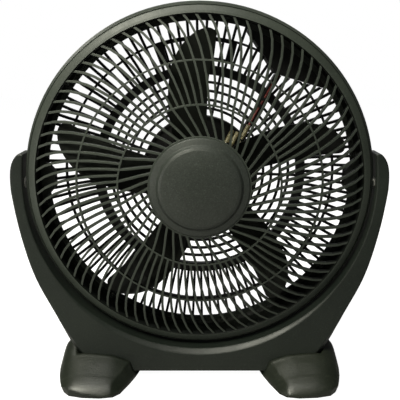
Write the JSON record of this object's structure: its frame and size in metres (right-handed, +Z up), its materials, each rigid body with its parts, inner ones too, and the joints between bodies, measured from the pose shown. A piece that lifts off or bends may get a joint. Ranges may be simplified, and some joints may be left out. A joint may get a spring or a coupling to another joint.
{
  "type": "floor fan",
  "caption": "Round floor fan whose guarded head tilts between the arms of a U-shaped stand on broad feet, with a rotary speed knob behind.",
  "frame": {"origin": "on the floor, under the middle of the tilt axis", "axes": "+Z up, air blows towards -Y, +X to the right seen from the front, tilt axis along X"},
  "size_m": [0.5696, 0.198, 0.5777],
  "materials": {
    "guard_plastic": "satin moulded, slightly grey green charcoal",
    "badge_plastic": "fine spark-eroded texture",
    "shroud_plastic": "satin moulded",
    "dark_plastic": "matte near black",
    "stand_plastic": "fine texture, satin",
    "foot_plastic": "satin",
    "blade_plastic": "satin moulded",
    "knob_plastic": "satin",
    "plated_steel": "zinc plated",
    "cast_bracket": "die cast",
    "core_steel": "laminated steel",
    "copper_windings": "enamelled copper wire",
    "pad_rubber": "matte",
    "gland_rubber": "matte",
    "bush_plastic": "natural nylon",
    "switch_plastic": "moulded",
    "capacitor_case": "moulded case",
    "red_sleeve": "flexible sleeve",
    "connector_sleeve": "translucent insulating sleeve",
    "tail_insulation": "thin insulation"
  },
  "bodies": {
    "stand": {"stand_front": "stand_plastic", "stand_rear": "stand_plastic", "foot_left": "foot_plastic", "foot_right": "foot_plastic", "rubber_pads": "pad_rubber", "foot_screws": "plated_steel", "stand_screws": "plated_steel", "pivot_bushes": "bush_plastic", "pivot_caps": "stand_plastic"},
    "head": {"front_guard": "guard_plastic", "badge": "badge_plastic", "shroud": "shroud_plastic", "rear_guard": "dark_plastic", "rear_guard_screws": "plated_steel", "pivot_bolts": "plated_steel", "friction_washers": "plated_steel", "control_box": "dark_plastic", "control_box_cover": "dark_plastic", "control_box_screws": "plated_steel", "rotary_switch": "switch_plastic", "capacitor": "capacitor_case", "cord_gland": "gland_rubber", "motor_front_bracket": "cast_bracket", "motor_rear_bracket": "cast_bracket", "stator_core": "core_steel", "stator_windings": "copper_windings", "front_bearing": "plated_steel", "rear_bearing": "plated_steel", "motor_bolts": "plated_steel", "motor_screws": "plated_steel", "motor_cover": "dark_plastic", "motor_cover_screws": "plated_steel", "motor_lead": "red_sleeve", "lead_connectors": "connector_sleeve", "motor_tails": "tail_insulation", "lead_clips": "dark_plastic"},
    "fan": {"fan_blades": "blade_plastic", "motor_shaft": "plated_steel", "rotor_core": "core_steel", "drive_pin": "plated_steel", "spinner_nut": "blade_plastic"},
    "knob": {"speed_knob": "knob_plastic", "switch_shaft": "plated_steel"}
  },
  "joints": [
    {"name": "head_tilt", "type": "hinge", "parent": "stand", "child": "head", "pos_m": [0, 0, 0.314], "axis": [-1, 0, 0], "range_deg": [-20, 90]},
    {"name": "fan_spin", "type": "hinge", "parent": "head", "child": "fan", "pos_m": [0, 0, 0.314], "axis": [0, 1, 0], "continuous": true},
    {"name": "knob_turn", "type": "hinge", "parent": "head", "child": "knob", "pos_m": [0.13519, 0.086, 0.50007], "axis": [0, 1, 0], "range_deg": [0, 135]}
  ]
}
